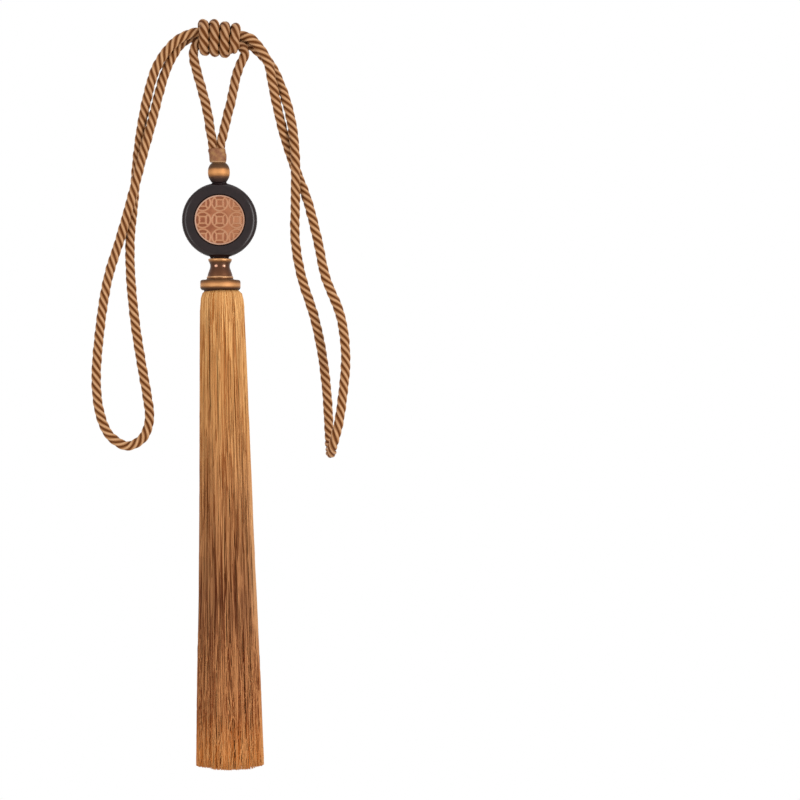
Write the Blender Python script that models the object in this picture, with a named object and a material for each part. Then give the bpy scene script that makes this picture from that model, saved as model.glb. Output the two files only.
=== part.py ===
# Curtain tieback with a long tassel: a twisted cord with two hanging loops, a wrapped knot,
# and below it a bead, a lacquered disc with a carved insert, a turned collar and a thread skirt.
# Metres, +Z up, front towards -Y. The origin is the top of the wrapped knot, where it hangs.
import math

import bmesh
import bpy
from mathutils import Vector

MM = 0.001
GAP = 0.3 * MM            # clearance between pieces that touch
MERGE = 0.001 * MM        # points closer than this are one

CORD_DIAMETER = 8.0 * MM
CORD_SOLID_RADIUS = CORD_DIAMETER / 2 - GAP / 2
CORD_STEP = 24 * MM       # longest stretch between two points of a cord's solid
CORD_TURN = math.radians(22)   # sharpest turn between two stretches
CORD_SIDES_LEVEL = 3      # bevel resolution of a cord's tube
ROUTE_STEPS = 24          # smooth points between two points of a route

KNOT_LEFT, KNOT_RIGHT = -17.9 * MM, 17.0 * MM
KNOT_CENTRE_Z = -15.6 * MM
KNOT_SLOPE = -0.08        # the knot hangs a little lower on its right
KNOT_FIRST_TURN = -13.9 * MM
KNOT_PITCH = 9.1 * MM
# how far the turns run level in front and slant behind: the first turn, and more with each turn
KNOT_SLANT, KNOT_SLANT_GROWS = 0.38, 0.07
KNOT_MOUTH = 16 * MM      # distance along the knot, on both sides, where the loops come out
GROOVE_FLOOR = 0.3        # how high the grooves between the turns reach, as a share of the radius
END_ROUNDING = 0.96       # how far the sleeve's ends curve in, as a share of the radius
BORE_ROOM = 0.45 * MM     # between the wraps and the cords inside them
MOUTH_FLARE = 0.35        # how much the bore widens at its mouths for each length of rounded end
# where each cord lies inside the wraps, seen from the end: depth behind the axis, height
FRONT_CORD = (-3.0 * MM, 3.9 * MM)
BACK_CORD = (5.1 * MM, 1.1 * MM)
HANGER_CORD = (-1.2 * MM, -3.9 * MM)
# the cords run straight through the knot between these places along it
EMBRACE_STATIONS = [x * MM for x in (-16.5, -8, 0, 8, 16.5)]
HANGER_STATIONS = [x * MM for x in (-13, -6.5, 0, 6.5, 13)]

# the cord's way round the left loop, from the knot's front place to its back place
LEFT_LOOP_MM = [
    (-32.7, -3, -15.8), (-45.3, -2.5, -27.5), (-54.6, -2, -43.4), (-60.5, -0.5, -62.9),
    (-65.8, 2, -88.4), (-69.8, 4.1, -117.3), (-72.8, 4.3, -153), (-75.9, 2.6, -187),
    (-75.5, 0.8, -216.8), (-71.7, 0, -256.7), (-66.2, 0, -292.4), (-60.9, 0, -323),
    (-59.5, 0, -339.1), (-64.7, 0, -354.7), (-77.7, 0, -362), (-92.6, 0, -353.6),
    (-100.6, 0, -337), (-104.4, 0, -310.2), (-102.1, 0, -270.3), (-94.7, -0.8, -221),
    (-83.8, -2.4, -185.3), (-73.7, -4.3, -149.6), (-65.9, -4.1, -119), (-57.7, -2, -88.4),
    (-51.5, 0.5, -62.9), (-46.1, 2.4, -44.2), (-38.3, 3.8, -27.5), (-29.7, 4.8, -17.5),
]
# the right loop, from the knot's back place to its front place; it turns edge-on at its foot
RIGHT_LOOP_MM = [
    (25.5, 5.1, -20.2), (34.3, 5.3, -27.5), (43.6, 5.2, -37.4), (51, 3.8, -52.7), (57.8, 0, -73.1),
    (62, -2.2, -93.5), (63.9, -4.2, -113.9), (64.3, -4.2, -134.3), (64.2, -1.5, -156.4),
    (64.2, 0.5, -187), (69.6, 4, -217.6), (80.6, 9, -251.6), (87.4, 13.5, -282.2),
    (91.8, 17.5, -316.2), (93.5, 19, -343.4), (94.1, 15, -358.7), (94.5, 0, -368.6),
    (96, -14.5, -360.4), (99.9, -18.5, -345.1), (103.8, -17.5, -319.6), (106.5, -13.5, -285.6),
    (102.3, -8.5, -251.6), (89.8, -4, -218.4), (83.2, -1, -187), (75.1, 1.5, -154.7),
    (68.4, 4.2, -136), (60.3, 4.3, -114.3), (53.8, 2.4, -93.5), (48.8, 0.3, -73.1),
    (44.5, -3, -52.7), (41.2, -3.1, -37), (33.7, -3.1, -23.4), (25.5, -3, -15.5),
]
# the cord that carries the tassel: up the left leg, and down the right one
LEFT_LEG_MM = [
    (-6.2, 0, -108.8), (-6.3, 0, -103.9), (-7.5, 0, -96.9), (-9.5, 0, -83.3), (-12.8, -0.3, -68),
    (-17, -0.6, -52.7), (-19.8, -0.9, -42.5), (-21.8, -1.2, -34), (-22.2, -1.2, -27.2),
    (-19.4, -1.2, -21.2),
]
RIGHT_LEG_MM = [
    (18.8, -0.8, -22.8), (21.3, -0.5, -27.8), (19.9, -0.5, -32.9), (17.2, -0.7, -38.3),
    (15.1, -0.8, -44), (12.9, -0.6, -52.7), (9.9, -0.3, -68), (6, 0, -83.3), (2.6, 0, -96.9),
    (1.7, 0, -103.9), (1.6, 0, -108.8),
]

# heights of the strung pieces, from the knot down, and how far each hangs off the origin's line
DISC_CENTRE_Z, DISC_X = -170.5 * MM, -0.1 * MM
DISC_RADIUS, DISC_THICKNESS, DISC_ROUNDING = 31.9 * MM, 13 * MM, 4 * MM
BOSS_PROUD, BOSS_LENGTH = 0.2 * MM, 6 * MM   # the seats' round feet, which end in the disc's rim
DISC_TOP_SEAT = DISC_CENTRE_Z + DISC_RADIUS + BOSS_PROUD
DISC_FOOT_SEAT = DISC_CENTRE_Z - DISC_RADIUS - BOSS_PROUD
BEAD_LENGTH, BEAD_X = 16.6 * MM, -0.5 * MM
BEAD_FOOT = DISC_TOP_SEAT + GAP
BINDING_LENGTH, BINDING_X = 11.85 * MM, -1.1 * MM
BINDING_TOP = BEAD_FOOT + BEAD_LENGTH + GAP + BINDING_LENGTH
POCKET_RADIUS, POCKET_DEPTH = 21.7 * MM, 3.0 * MM
INSERT_STANDS_PROUD, INSERT_RIM, INSERT_RECESS = 0.4 * MM, 1.0 * MM, 0.9 * MM
INSERT_BREAK = 0.3 * MM   # the small slopes at the rim's edges
TOP_BOSS_RADIUS, FOOT_BOSS_RADIUS = 5.9 * MM, 7.8 * MM
BOSS_HALF_DEPTH = 6.1 * MM   # a wider seat is an oval, which stays behind the disc's faces
COLLAR_TOP, COLLAR_LENGTH, COLLAR_X = DISC_FOOT_SEAT - GAP, 17.8 * MM, 0.3 * MM
RING_TOP, RING_X = COLLAR_TOP - COLLAR_LENGTH - GAP, 0.6 * MM
RING_RADIUS, RING_HEIGHT = 17.1 * MM, 8.8 * MM
RING_TOP_ROUNDING, RING_FOOT_ROUNDING = 1.6 * MM, 2.7 * MM
RING_NECK_RADIUS, RING_NECK = 13.9 * MM, 1.4 * MM
SKIRT_TOP = RING_TOP - RING_HEIGHT - RING_NECK - GAP
SKIRT_FOOT = -634.8 * MM

ROUND_STEPS, DISC_STEPS, RING_STEPS = 32, 48, 40
SKIRT_LOCKS = 24          # bundles of thread round the skirt
STEPS_PER_LOCK = 4
LOCK_GROOVE = 1.3 * MM    # depth of the grooves between locks, at the foot
LOCK_NOTCH = 7 * MM       # how far the gaps between the locks' ends reach up
LOCK_UNEVEN = 1.6 * MM    # how unequal the locks' lengths are
LOCK_TIP = (2.0 * MM, 0.6 * MM)   # how far in, and down, the locks' ends are rounded
SKIRT_HOLLOW = (9 * MM, 0.5)      # how far up the middle of the foot is drawn, and how wide


def remove_everything():
    for thing in list(bpy.data.objects):
        bpy.data.objects.remove(thing)


def finish(name, colour, roughness, metallic=0.0):
    """A plain painted stand-in for the real surface."""
    material = bpy.data.materials.new(name)
    material.use_nodes = True
    shader = material.node_tree.nodes["Principled BSDF"]
    shader.inputs["Base Color"].default_value = (*colour, 1)
    shader.inputs["Roughness"].default_value = roughness
    shader.inputs["Metallic"].default_value = metallic
    return material


def place(name, data, material):
    thing = bpy.data.objects.new(name, data)
    bpy.context.collection.objects.link(thing)
    data.materials.append(material)
    return thing


def mesh_piece(name, bm, material, sharp_degrees=40):
    bmesh.ops.remove_doubles(bm, verts=bm.verts, dist=MERGE)
    bmesh.ops.recalc_face_normals(bm, faces=bm.faces)
    mesh = bpy.data.meshes.new(name)
    bm.to_mesh(mesh)
    bm.free()
    mesh.shade_smooth()
    mesh.set_sharp_from_angle(angle=math.radians(sharp_degrees))
    return place(name, mesh, material)


def turned_mesh(profile, steps=ROUND_STEPS):
    """A solid turned about the Z axis from (radius, height) pairs that start and end on it."""
    bm = bmesh.new()
    corners = [bm.verts.new((radius, 0, height)) for radius, height in profile]
    edges = [bm.edges.new(pair) for pair in zip(corners, corners[1:])]
    bmesh.ops.spin(bm, geom=corners + edges, cent=(0, 0, 0), axis=(0, 0, 1),
                   angle=2 * math.pi, steps=steps, use_merge=True)
    return bm


def ring_stack(rings):
    """A closed solid through rings of equal numbers of points, capped at both ends."""
    bm = bmesh.new()
    rows = [[bm.verts.new(point) for point in ring] for ring in rings]
    for lower, upper in zip(rows, rows[1:]):
        for i in range(len(lower)):
            j = (i + 1) % len(lower)
            bm.faces.new((lower[i], lower[j], upper[j], upper[i]))
    for row in (rows[0], rows[-1]):
        centre = bm.verts.new(sum((v.co for v in row), Vector()) / len(row))
        for i in range(len(row)):
            bm.faces.new((row[i], row[(i + 1) % len(row)], centre))
    return bm


def arc(centre, radius, start, end, steps):
    """Points (radius, height) along an arc, with its angles in degrees from the outward side."""
    angles = [math.radians(start + (end - start) * i / steps) for i in range(steps + 1)]
    return [(centre[0] + radius * math.cos(a), centre[1] + radius * math.sin(a)) for a in angles]


# ---- cords ----

def in_knot(x, cord):
    """Where one of the three cords lies inside the wraps, at a distance x along the knot."""
    depth, height = cord
    return Vector((x, depth, KNOT_CENTRE_Z + KNOT_SLOPE * x + height))


def in_metres(points_mm):
    return [Vector(point) * MM for point in points_mm]


def smooth(route, closed):
    """Fine points of a smooth curve through the route's own points."""
    count = len(route)
    fine = []
    for i in range(count if closed else count - 1):
        if closed:
            a, b, c, d = (route[(i + k) % count] for k in (-1, 0, 1, 2))
        else:
            b, c = route[i], route[i + 1]
            a = route[i - 1] if i else b + (b - c)
            d = route[i + 2] if i + 2 < count else c + (c - b)
        t1 = math.sqrt((b - a).length)
        t2 = t1 + math.sqrt((c - b).length)
        t3 = t2 + math.sqrt((d - c).length)
        for k in range(ROUTE_STEPS):
            t = t1 + (t2 - t1) * k / ROUTE_STEPS
            ab = a + (b - a) * (t / t1)
            bc = b + (c - b) * ((t - t1) / (t2 - t1))
            cd = c + (d - c) * ((t - t2) / (t3 - t2))
            abc = ab + (bc - ab) * (t / t2)
            bcd = bc + (cd - bc) * ((t - t1) / (t3 - t1))
            fine.append(abc + (bcd - abc) * ((t - t1) / (t2 - t1)))
    if not closed:
        fine.append(route[-1])
    return fine


def spaced_along(fine, always):
    """Fewer points: close in the bends, further apart on the straight, and always at some."""
    kept = [fine[0]]
    heading = (fine[1] - fine[0]).normalized()
    gone = 0.0
    for i in range(1, len(fine) - 1):
        gone += (fine[i] - fine[i - 1]).length
        now = (fine[i + 1] - fine[i]).normalized()
        if i in always or gone >= CORD_STEP or now.angle(heading) >= CORD_TURN:
            kept.append(fine[i])
            heading, gone = now, 0.0
    return kept


def cord(name, points, closed, material):
    curve = bpy.data.curves.new(name, "CURVE")
    curve.dimensions = "3D"
    curve.bevel_depth = CORD_SOLID_RADIUS
    curve.bevel_resolution = CORD_SIDES_LEVEL
    curve.use_fill_caps = True
    spline = curve.splines.new("POLY")
    spline.points.add(len(points) - 1)
    for target, point in zip(spline.points, points):
        target.co = (*point, 1)
    spline.use_cyclic_u = closed
    return place(name, curve, material)


def embrace_cord():
    """One endless cord: through the knot, round the left loop, back, and round the right loop."""
    route = [in_knot(x, FRONT_CORD) for x in reversed(EMBRACE_STATIONS)]
    route += in_metres(LEFT_LOOP_MM)
    route += [in_knot(x, BACK_CORD) for x in EMBRACE_STATIONS]
    route += in_metres(RIGHT_LOOP_MM)
    knot_sides = {i * ROUTE_STEPS for i, point in enumerate(route)
                  if KNOT_MOUTH < abs(point.x) < KNOT_RIGHT}
    points = spaced_along(smooth(route, closed=True), knot_sides)
    return cord("embrace_cord", points, True, finish("cord_yarn", (0.50, 0.27, 0.12), 0.6))


def hanger_cord():
    """The doubled cord that carries the tassel: it passes through the knot with both legs down."""
    route = in_metres(LEFT_LEG_MM)
    route += [in_knot(x, HANGER_CORD) for x in HANGER_STATIONS]
    route += in_metres(RIGHT_LEG_MM)
    fine = smooth(route, closed=False)
    points = spaced_along(fine, {i * ROUTE_STEPS for i in range(len(route))}) + [fine[-1]]
    return cord("hanger_cord", points, False, finish("hanger_yarn", (0.48, 0.25, 0.11), 0.6))


# ---- the wrapped knot: a sleeve ridged like four turns of the cord ----

def turn_shift(angle, turn):
    """How far along the knot a turn has moved, as a share of the pitch, at an angle from the top."""
    slant = KNOT_SLANT + KNOT_SLANT_GROWS * turn
    return angle / (2 * math.pi) - slant * (1 - math.cos(angle)) / 2


def ridge_height(along, angle):
    """Height of the wrapped cord's outer surface above its own centre line."""
    turns = (along - KNOT_FIRST_TURN) / KNOT_PITCH
    turns -= turn_shift(angle, turns)
    off_centre = (turns - round(turns)) * KNOT_PITCH
    radius = CORD_DIAMETER / 2
    return math.sqrt(max(radius ** 2 - off_centre ** 2, (GROOVE_FLOOR * radius) ** 2))


def knot_outline(along, offsets):
    """Points round the three inner cords, at the given distances from them."""
    ring = []
    for step, offset in enumerate(offsets):
        angle = 2 * math.pi * step / len(offsets)
        depth_way, height_way = -math.sin(angle), math.cos(angle)
        depth, height = max((FRONT_CORD, BACK_CORD, HANGER_CORD),
                            key=lambda c: c[0] * depth_way + c[1] * height_way)
        ring.append((along, depth + offset * depth_way,
                     KNOT_CENTRE_Z + KNOT_SLOPE * along + height + offset * height_way))
    return ring


def knot_wraps():
    """A sleeve with a bore for the three cords, rounded at its ends like the outermost turns."""
    radius = CORD_DIAMETER / 2
    middle = CORD_DIAMETER            # the wrapped cord's centre line runs this far from the cords
    steps, stations = 28, 30
    outer, inner = [], []
    for i in range(stations + 1):
        along = KNOT_LEFT + (KNOT_RIGHT - KNOT_LEFT) * i / stations
        into_end = max(0.0, KNOT_LEFT + radius - along, along - (KNOT_RIGHT - radius))
        into_end = min(into_end, END_ROUNDING * radius)
        rounding = math.sqrt(radius ** 2 - into_end ** 2)
        bore = middle - rounding + BORE_ROOM + MOUTH_FLARE * into_end
        offsets = [middle + min(ridge_height(along, 2 * math.pi * k / steps), rounding)
                   for k in range(steps)]
        outer.append(knot_outline(along, offsets))
        inner.append(knot_outline(along, [bore] * steps))
    bm = bmesh.new()
    rows = [[bm.verts.new(point) for point in ring] for ring in outer + inner[::-1]]
    for row, following in zip(rows, rows[1:] + rows[:1]):
        for i in range(steps):
            j = (i + 1) % steps
            bm.faces.new((row[i], row[j], following[j], following[i]))
    return mesh_piece("knot_wraps", bm, finish("wrap_yarn", (0.50, 0.27, 0.12), 0.6), 60)


# ---- the strung pieces ----

def binding():
    """The thread-bound sleeve that holds both legs together, a little flatter than it is wide."""
    rows = [                                  # share of length down, then x, half width, half depth
        (0.0, -1.2, 6.1, 5.0), (0.05, -1.2, 6.6, 5.7), (0.2, -1.0, 6.75, 5.8),
        (0.34, -0.6, 6.65, 5.7), (0.58, -0.15, 6.5, 5.6), (0.8, 0.0, 6.4, 5.5),
        (0.95, 0.1, 6.1, 5.3), (1.0, 0.1, 5.6, 4.8),
    ]
    steps = 24
    angles = [2 * math.pi * i / steps for i in range(steps)]
    rings = []
    for share, shift, half_width, half_depth in rows:
        rings.append([(BINDING_X + (shift + half_width * math.cos(a)) * MM,
                       half_depth * math.sin(a) * MM, BINDING_TOP - share * BINDING_LENGTH)
                      for a in angles])
    thread = finish("binding_thread", (0.36, 0.19, 0.10), 0.5)
    return mesh_piece("binding", ring_stack(rings), thread)


def bead():
    """A barrel bead with flat seats at both ends."""
    shape = [(1.0, 5.9), (0.965, 6.9), (0.88, 8.1), (0.74, 8.95), (0.56, 9.2), (0.42, 9.1),
             (0.27, 8.5), (0.13, 7.35), (0.04, 6.3), (0.0, 5.7)]      # share of length up, radius
    profile = [(radius * MM, BEAD_FOOT + share * BEAD_LENGTH) for share, radius in shape]
    profile = [(0, profile[0][1])] + profile + [(0, BEAD_FOOT)]
    gilt = finish("bead_gilt", (0.55, 0.30, 0.12), 0.35, 0.8)
    piece = mesh_piece("bead", turned_mesh(profile), gilt)
    piece.location.x = BEAD_X
    return piece


def seat_boss(name, radius, seat):
    """A short round foot that gives the disc's edge a flat seat; it is joined to the disc."""
    bm = bmesh.new()
    bmesh.ops.create_cone(bm, cap_ends=True, segments=24, radius1=radius, radius2=radius,
                          depth=BOSS_LENGTH)
    flat = min(1.0, BOSS_HALF_DEPTH / radius)
    bmesh.ops.scale(bm, vec=(1, flat, 1), verts=bm.verts)
    boss = mesh_piece(name, bm, finish(name, (0.03, 0.025, 0.027), 0.35))
    way = 1 if seat > DISC_CENTRE_Z else -1
    boss.location = (DISC_X, 0, seat - way * BOSS_LENGTH / 2)
    boss.hide_render = True
    boss.display_type = "WIRE"
    return boss


def disc():
    """The lacquered disc, turned like a wheel, with a round pocket in its front face."""
    half, edge = DISC_THICKNESS / 2, DISC_RADIUS - DISC_ROUNDING
    rim = arc((edge, DISC_ROUNDING - half), DISC_ROUNDING, -90, 0, 5)
    rim += arc((edge, half - DISC_ROUNDING), DISC_ROUNDING, 0, 90, 5)
    pocket = [(POCKET_RADIUS, half), (POCKET_RADIUS, half - POCKET_DEPTH), (0, half - POCKET_DEPTH)]
    bm = turned_mesh([(0, -half)] + rim + pocket, DISC_STEPS)
    piece = mesh_piece("disc", bm, finish("black_lacquer", (0.03, 0.025, 0.027), 0.35))
    piece.rotation_euler.x = math.radians(90)
    piece.location = (DISC_X, 0, DISC_CENTRE_Z)
    for name, radius, seat in (("top_boss", TOP_BOSS_RADIUS, DISC_TOP_SEAT),
                               ("foot_boss", FOOT_BOSS_RADIUS, DISC_FOOT_SEAT)):
        join = piece.modifiers.new(name, "BOOLEAN")
        join.operation = "UNION"
        join.object = seat_boss(name, radius, seat)
    return piece


def coin_insert():
    """The round carved plate in the disc's pocket; it has a raised rim."""
    floor = DISC_THICKNESS / 2 - POCKET_DEPTH + GAP
    top = DISC_THICKNESS / 2 + INSERT_STANDS_PROUD
    radius = POCKET_RADIUS - GAP
    field = top - INSERT_RECESS
    rim_foot = radius - INSERT_RIM
    profile = [(0, floor), (radius, floor), (radius, top - INSERT_BREAK),
               (radius - INSERT_BREAK, top), (rim_foot, top), (rim_foot - INSERT_BREAK, field),
               (0, field)]
    copper = finish("copper", (0.50, 0.22, 0.11), 0.5, 0.6)
    piece = mesh_piece("coin_insert", turned_mesh(profile, DISC_STEPS), copper)
    piece.rotation_euler.x = math.radians(90)
    piece.location = (DISC_X, 0, DISC_CENTRE_Z)
    return piece


def collar():
    """A turned collar: a flange under the disc, a narrow neck, a lip and a foot on the ring."""
    shape = [                                 # radius, share of length down
        (9.3, 0), (9.9, 0.02), (10.0, 0.06), (9.8, 0.12), (9.3, 0.16), (8.7, 0.235), (8.3, 0.33),
        (8.4, 0.43), (9.2, 0.56), (10.1, 0.70), (10.75, 0.84), (11.1, 0.87), (11.15, 0.92),
        (11.0, 0.94), (11.6, 0.965), (11.8, 1.0),
    ]
    profile = [(0, COLLAR_TOP)]
    profile += [(radius * MM, COLLAR_TOP - share * COLLAR_LENGTH) for radius, share in shape]
    profile.append((0, COLLAR_TOP - COLLAR_LENGTH))
    antique = finish("antique_copper", (0.19, 0.085, 0.045), 0.4, 0.6)
    piece = mesh_piece("collar", turned_mesh(profile), antique)
    piece.location.x = COLLAR_X
    return piece


def base_ring():
    """The wide ring at the skirt's head, with a short neck below it."""
    foot = RING_TOP - RING_HEIGHT
    over, under = RING_TOP_ROUNDING, RING_FOOT_ROUNDING
    profile = [(0, RING_TOP)]
    profile += arc((RING_RADIUS - over, RING_TOP - over), over, 90, 0, 5)
    profile += arc((RING_RADIUS - under, foot + under), under, 0, -80, 5)
    profile += [(RING_NECK_RADIUS, foot), (RING_NECK_RADIUS, foot - RING_NECK), (0, foot - RING_NECK)]
    gilt = finish("ring_gilt", (0.50, 0.27, 0.11), 0.35, 0.8)
    piece = mesh_piece("base_ring", turned_mesh(profile, RING_STEPS), gilt)
    piece.location.x = RING_X
    return piece


# ---- the skirt ----

def skirt():
    """One bundle of threads, fluted into locks whose ends make a comb along the foot."""
    rows = [                                  # height below the top, x, half width, half depth, in mm
        (0.0, 1.7, 15.0, 15.2), (0.8, 1.8, 16.1, 16.4), (5.0, 1.9, 17.6, 17.9), (10.5, 2.1, 18.4, 18.7),
        (17.0, 2.2, 18.7, 19.0), (60.0, 3.0, 19.7, 19.8), (120.0, 4.2, 21.0, 20.8),
        (190.0, 5.5, 22.6, 22.0), (260.0, 6.8, 24.5, 23.3), (330.0, 7.8, 26.8, 24.8),
        (375.0, 8.4, 27.9, 25.6),
    ]
    foot_row = (8.9, 28.6, 26.2)              # x, half width, half depth at the locks' ends
    length = SKIRT_TOP - SKIRT_FOOT
    around = SKIRT_LOCKS * STEPS_PER_LOCK
    crests = [abs(math.cos(math.pi * i / STEPS_PER_LOCK)) for i in range(around)]

    def ring(depths, shift, half_width, half_depth, groove=0.0):
        points = []
        for i in range(around):
            angle = 2 * math.pi * i / around
            into = groove * (1 - crests[i])
            points.append((shift + (half_width - into) * math.cos(angle),
                           (half_depth - into) * math.sin(angle), SKIRT_TOP - depths[i]))
        return points

    def lock_end(i):
        """How far down each lock reaches: unequal lengths, with a notch between neighbours."""
        number = (i + STEPS_PER_LOCK // 2) // STEPS_PER_LOCK
        uneven = LOCK_UNEVEN * (math.sin(2.4 * number) + math.sin(1.1 * number + 1)) / 2
        return length - LOCK_UNEVEN + uneven - LOCK_NOTCH * (1 - crests[i])

    rings = []
    for depth, shift, half_width, half_depth in rows:
        groove = LOCK_GROOVE * depth * MM / length
        rings.append(ring([depth * MM] * around, shift * MM, half_width * MM, half_depth * MM,
                          groove))
    shift, half_width, half_depth = (value * MM for value in foot_row)
    ends = [lock_end(i) for i in range(around)]
    tip_in, tip_down = LOCK_TIP
    rings.append(ring([end - tip_down for end in ends], shift, half_width, half_depth, LOCK_GROOVE))
    rings.append(ring(ends, shift, half_width - tip_in, half_depth - tip_in, LOCK_GROOVE))
    hollow, share = SKIRT_HOLLOW
    rings.append(ring([length - hollow] * around, shift, share * half_width, share * half_depth))
    return mesh_piece("skirt", ring_stack(rings), finish("skirt_thread", (0.50, 0.25, 0.09), 0.55), 60)


def build():
    remove_everything()
    embrace_cord()
    hanger_cord()
    knot_wraps()
    binding()
    bead()
    disc()
    coin_insert()
    collar()
    base_ring()
    skirt()


build()
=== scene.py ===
import math
from functools import partial

import bmesh
import bpy
import numpy as np
from mathutils import Matrix, Vector


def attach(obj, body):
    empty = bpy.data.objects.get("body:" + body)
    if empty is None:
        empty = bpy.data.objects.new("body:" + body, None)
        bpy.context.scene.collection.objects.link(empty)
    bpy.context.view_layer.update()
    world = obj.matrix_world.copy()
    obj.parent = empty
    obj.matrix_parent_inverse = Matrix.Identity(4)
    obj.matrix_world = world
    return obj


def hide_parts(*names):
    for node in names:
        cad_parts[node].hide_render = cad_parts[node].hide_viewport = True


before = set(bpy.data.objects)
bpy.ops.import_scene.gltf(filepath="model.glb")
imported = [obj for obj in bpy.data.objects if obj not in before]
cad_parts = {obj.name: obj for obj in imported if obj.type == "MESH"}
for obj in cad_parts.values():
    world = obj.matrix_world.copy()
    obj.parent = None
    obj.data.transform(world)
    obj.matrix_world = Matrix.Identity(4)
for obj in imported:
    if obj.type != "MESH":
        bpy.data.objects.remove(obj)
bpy.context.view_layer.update()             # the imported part, in metres: +Z up, front towards -Y
mm = 0.001
fullTurn = 2 * math.pi
chance = np.random.default_rng(24)        # seeded, so that every run gives the same threads
print("frame loaded:", sorted(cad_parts))


# what every piece and every finish is made with

def linear(hexCode):          # sRGB hex to the linear numbers that nodes use
    parts = [int(hexCode[i:i + 2], 16) / 255 for i in (1, 3, 5)]
    parts = [c / 12.92 if c <= 0.04045 else ((c + 0.055) / 1.055) ** 2.4 for c in parts]
    return (*parts, 1.0)


def connect(node, inputs):                # each input is a number, a colour, a socket or a node
    for socket, source in inputs.items():
        if isinstance(source, bpy.types.Node):
            source = source.outputs[0]
        if isinstance(source, bpy.types.NodeSocket):
            node.id_data.links.new(source, node.inputs[socket])
        else:
            node.inputs[socket].default_value = source


def addNode(tree, kind, inputs=None, stops=(), **settings):
    node = tree.nodes.new("ShaderNode" + kind)
    for name, value in settings.items():
        setattr(node, name, value)
    connect(node, inputs or {})
    if stops:                             # places and colours of a colour ramp
        marks = node.color_ramp.elements
        while len(marks) < len(stops):
            marks.new(0.5)
        for mark, (place, hexCode) in zip(marks, stops):
            mark.position = place
            mark.color = linear(hexCode)
    return node


def every(*sizes):            # the scale of a pattern that repeats at these sizes in millimetres
    return [1 / (size * mm) for size in sizes]


def objectAxes(add):                      # the place on a piece, and its three coordinates
    where = add("TexCoord").outputs["Object"]
    return where, add("SeparateXYZ", {0: where}).outputs


def strayed(add, level, by, share):       # a level moved up and down by up to half a share
    shift = add("Math", {0: by, 1: share, 2: -share / 2}, operation="MULTIPLY_ADD")
    return add("Math", {0: level, 1: shift})


def newFinish(name, **constants):         # a material, what adds nodes to it, and its shader
    finish = bpy.data.materials.new(name)
    finish.use_nodes = True
    shader = finish.node_tree.nodes["Principled BSDF"]
    for socket, value in constants.items():
        shader.inputs[socket.replace("_", " ")].default_value = value
    return finish, partial(addNode, finish.node_tree), shader


def inScene(name, data):
    made = bpy.data.objects.new(name, data)
    bpy.context.scene.collection.objects.link(made)
    return made


def place(name, mesh, finish, node, slotName, *moreFinishes):
    mesh.name = name
    piece = inScene(name, mesh)
    for each in (finish, *moreFinishes):
        mesh.materials.append(each)
    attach(piece, "root")
    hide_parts(node)
    return piece


def shaded(mesh, bm, sharp):              # turns the faces outwards and shades them smooth
    bmesh.ops.recalc_face_normals(bm, faces=bm.faces)
    bm.to_mesh(mesh)
    bm.free()
    mesh.shade_smooth()
    mesh.set_sharp_from_angle(angle=math.radians(sharp))
    return mesh


def meshFrom(bm, sharp=35):               # closes seams and poles first
    bmesh.ops.remove_doubles(bm, verts=bm.verts, dist=0.001 * mm)
    return shaded(bpy.data.meshes.new("piece"), bm, sharp)


def smoothLine(route, closed, steps=24):  # fine points of a smooth curve through a route
    count = len(route)
    fine = []
    for i in range(count if closed else count - 1):
        if closed:
            a, b, c, d = (route[(i + k) % count] for k in (-1, 0, 1, 2))
        else:
            b, c = route[i], route[i + 1]
            a = route[i - 1] if i else b + (b - c)
            d = route[i + 2] if i + 2 < count else c + (c - b)
        t1 = math.sqrt((b - a).length)
        t2 = t1 + math.sqrt((c - b).length)
        t3 = t2 + math.sqrt((d - c).length)
        for k in range(steps):
            t = t1 + (t2 - t1) * k / steps
            ab = a + (b - a) * (t / t1)
            bc = b + (c - b) * ((t - t1) / (t2 - t1))
            cd = c + (d - c) * ((t - t2) / (t3 - t2))
            abc = ab + (bc - ab) * (t / t2)
            bcd = bc + (cd - bc) * ((t - t1) / (t3 - t1))
            fine.append(abc + (bcd - abc) * ((t - t1) / (t2 - t1)))
    if not closed:
        fine.append(route[-1])
    return fine


def evenly(fine, closed, step):           # the same line with its points one step apart
    line = fine + [fine[0]] if closed else fine
    gone = [0.0]
    for a, b in zip(line, line[1:]):
        gone.append(gone[-1] + (b - a).length)
    count = round(gone[-1] / step)
    wanted = np.linspace(0, gone[-1], count + 1)
    if closed:
        wanted = wanted[:-1]
    columns = [np.interp(wanted, gone, column) for column in zip(*line)]
    return [Vector(p) for p in zip(*columns)], gone[-1]


# camera

viewSettings = {
    "picture": 800,           # its pixels each way
    "pixel": 0.85 * mm,       # size of one of them at the tassel
    "height": -0.323,         # level with the picture's middle
    "hangsAt": 219.7,         # the tassel's line in the picture
    "lens": 125,              # far enough away that the loops are seen nearly square on
    "sensor": 36,
}


def makeCamera(v):            # it faces the tassel, turned so that the tassel is left of centre
    camera = bpy.data.cameras.new("camera")
    camera.lens = v["lens"]
    camera.sensor_width = v["sensor"]
    camera.clip_start, camera.clip_end = 0.05, 60
    stand = inScene("camera", camera)
    reach = v["picture"] * v["lens"] / v["sensor"]
    turned = math.atan((v["picture"] / 2 - v["hangsAt"]) / reach)
    stand.location = (0, -v["pixel"] * reach / math.cos(turned), v["height"])
    stand.rotation_euler = (math.radians(90), 0, -turned)
    bpy.context.scene.camera = stand


makeCamera(viewSettings)


# twisted cord

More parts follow.
